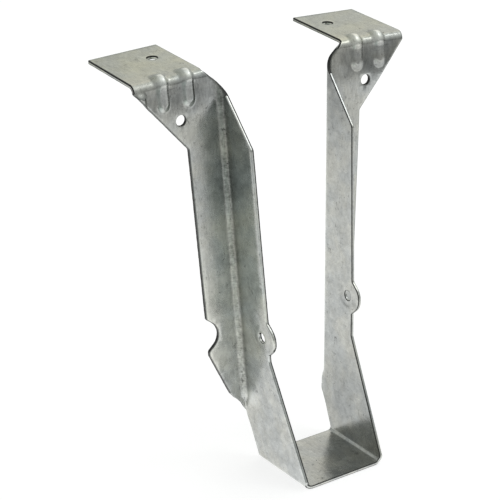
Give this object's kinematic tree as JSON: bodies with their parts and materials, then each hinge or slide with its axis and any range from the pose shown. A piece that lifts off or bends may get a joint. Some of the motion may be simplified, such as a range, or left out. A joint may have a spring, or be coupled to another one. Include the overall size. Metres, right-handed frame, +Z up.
{
  "type": "joist hanger",
  "caption": "Top-flange joist hanger folded from one galvanised sheet, with a seat, splayed side plates, ribbed top flanges and nail holes.",
  "frame": {"origin": "middle of the seat's bearing face, where the joist's bottom edge rests", "axes": "+X across the joist, +Y along the joist towards the header, +Z up"},
  "size_m": [0.141, 0.0856, 0.1908],
  "materials": {
    "galvanised_sheet": "hot-dip galvanised steel sheet, matt, mottled, with bare sheared edges"
  },
  "bodies": {
    "root": {"hanger": "galvanised_sheet"}
  },
  "joints": []
}
